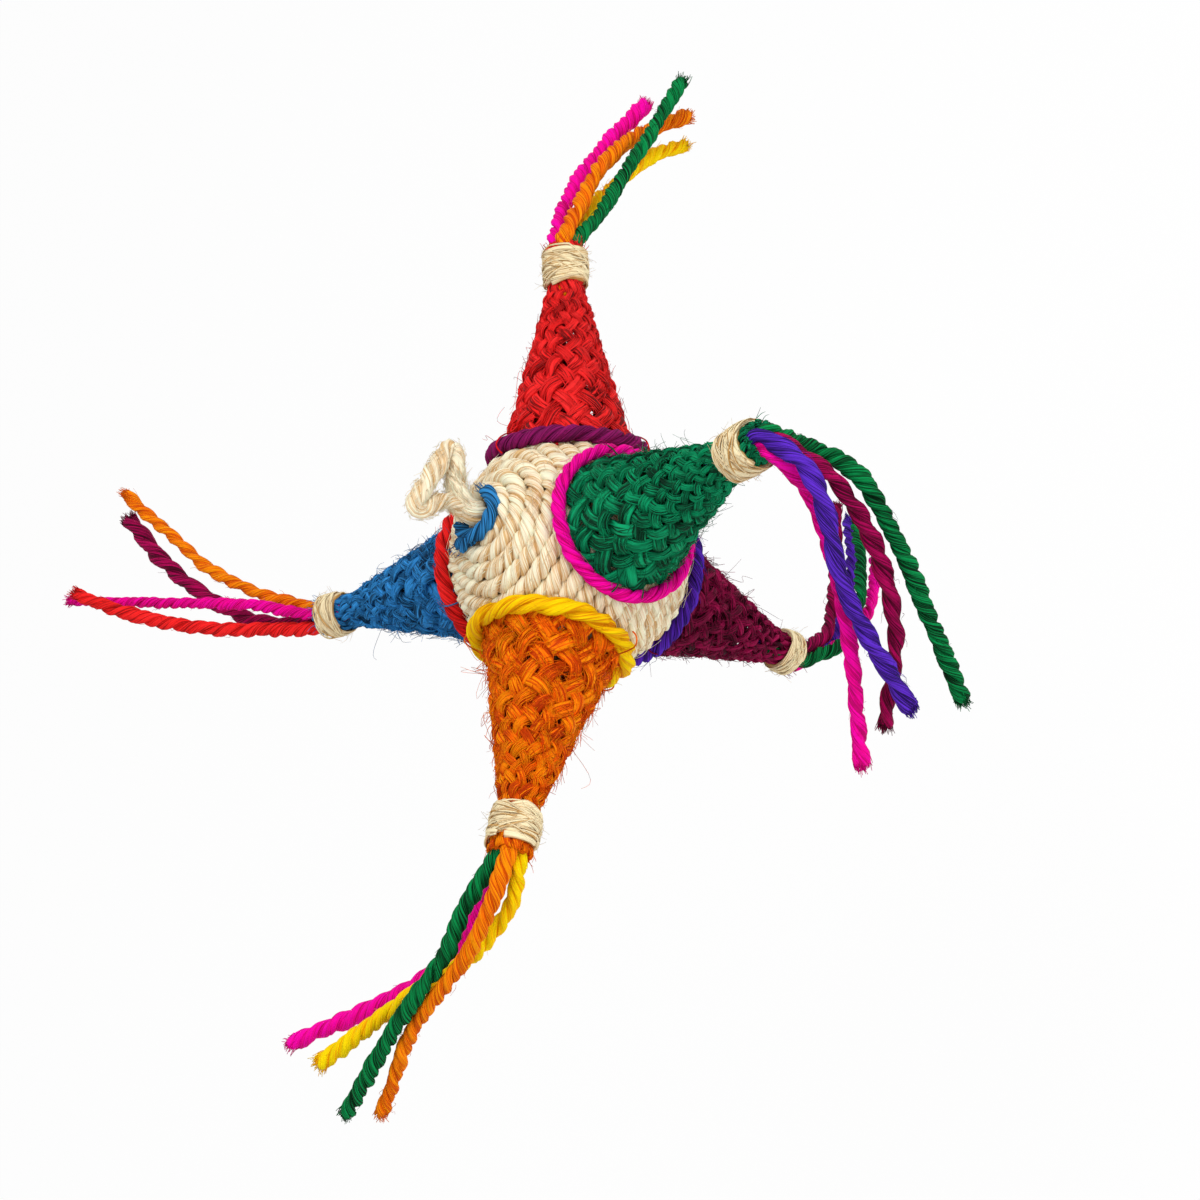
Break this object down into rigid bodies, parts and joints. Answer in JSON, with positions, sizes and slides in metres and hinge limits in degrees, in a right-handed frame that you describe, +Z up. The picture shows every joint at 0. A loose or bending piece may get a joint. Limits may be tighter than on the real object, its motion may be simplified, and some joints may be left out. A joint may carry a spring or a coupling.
{
  "type": "hanging star ornament",
  "caption": "Star-shaped hanging ornament of dyed sisal: a rope-wound ball with woven cones, trimmed bases, bound tips, twisted cord tassels and a rope hanging loop.",
  "frame": {"origin": "inside of the hanging loop's crown, where a hook carries the ornament", "axes": "+Z up along the ball's axis from the lower cone to the loop, +X towards the green cone and +Y nearly towards the red cone"},
  "size_m": [0.2187, 0.2358, 0.1433],
  "materials": {
    "cream": "matte twisted fibre",
    "red": "matte twisted fibre",
    "deep_purple": "matte twisted fibre",
    "green": "matte twisted fibre",
    "magenta": "matte twisted fibre",
    "orange": "matte twisted fibre",
    "yellow": "matte twisted fibre",
    "blue": "matte twisted fibre",
    "violet": "matte twisted fibre",
    "purple": "matte twisted fibre"
  },
  "bodies": {
    "loop": {"hanging_loop": "cream"},
    "stub": {"loop_stub": "cream"},
    "star": {"ball_core": "cream", "ball_winding": "cream", "green_cone": "green", "green_base_ring": "magenta", "green_tip_binding": "cream", "green_cord_roots": "cream", "red_cone": "red", "red_base_ring": "deep_purple", "red_tip_binding": "cream", "red_cord_roots": "cream", "blue_cone": "blue", "blue_base_ring": "red", "blue_tip_binding": "cream", "blue_cord_roots": "cream", "orange_cone": "orange", "orange_base_ring": "yellow", "orange_tip_binding": "cream", "orange_cord_roots": "cream", "purple_cone": "purple", "purple_base_ring": "violet", "purple_tip_binding": "cream", "purple_cord_roots": "cream", "loop_collar": "blue"},
    "green_tassel": {"green_cord_green": "green", "green_cord_violet": "violet", "green_cord_magenta": "magenta", "green_cord_purple": "purple"},
    "red_tassel": {"red_cord_magenta": "magenta", "red_cord_orange": "orange", "red_cord_green": "green", "red_cord_yellow": "yellow"},
    "blue_tassel": {"blue_cord_red": "red", "blue_cord_magenta": "magenta", "blue_cord_orange": "orange", "blue_cord_purple": "purple"},
    "orange_tassel": {"orange_cord_orange": "orange", "orange_cord_green": "green", "orange_cord_magenta": "magenta", "orange_cord_yellow": "yellow"},
    "purple_tassel": {"purple_cord_purple": "purple", "purple_cord_green": "green", "purple_cord_magenta": "magenta", "purple_cord_violet": "violet"}
  },
  "joints": [
    {"name": "star_swing", "type": "hinge", "parent": "loop", "child": "stub", "pos_m": [0, 0, -0.0097], "axis": [1, 0, 0], "range_deg": [-35, 18]},
    {"name": "star_twirl", "type": "hinge", "parent": "stub", "child": "star", "pos_m": [0, 0, -0.0097], "axis": [0, 0, 1], "range_deg": [-180, 180], "stiffness_Nm_per_rad": 0.0008},
    {"name": "green_tassel_bend", "type": "hinge", "parent": "star", "child": "green_tassel", "pos_m": [0.07362, 0, -0.02705], "axis": [0, 1, 0], "range_deg": [-30, 30], "stiffness_Nm_per_rad": 0.03},
    {"name": "red_tassel_bend", "type": "hinge", "parent": "star", "child": "red_tassel", "pos_m": [0.00257, 0.07367, -0.02757], "axis": [-0.9994, 0.0349, 0], "range_deg": [-30, 30], "stiffness_Nm_per_rad": 0.03},
    {"name": "blue_tassel_bend", "type": "hinge", "parent": "star", "child": "blue_tassel", "pos_m": [-0.07345, -0.00103, -0.02616], "axis": [0.014, -0.9999, 0], "range_deg": [-30, 30], "stiffness_Nm_per_rad": 0.03},
    {"name": "orange_tassel_bend", "type": "hinge", "parent": "star", "child": "orange_tassel", "pos_m": [0.00284, -0.07399, -0.02963], "axis": [0.9993, 0.0384, 0], "range_deg": [-30, 30], "stiffness_Nm_per_rad": 0.03},
    {"name": "purple_tassel_bend", "type": "hinge", "parent": "star", "child": "purple_tassel", "pos_m": [0, 0, -0.1151], "axis": [1, 0, 0], "range_deg": [-30, 30], "stiffness_Nm_per_rad": 0.03}
  ]
}
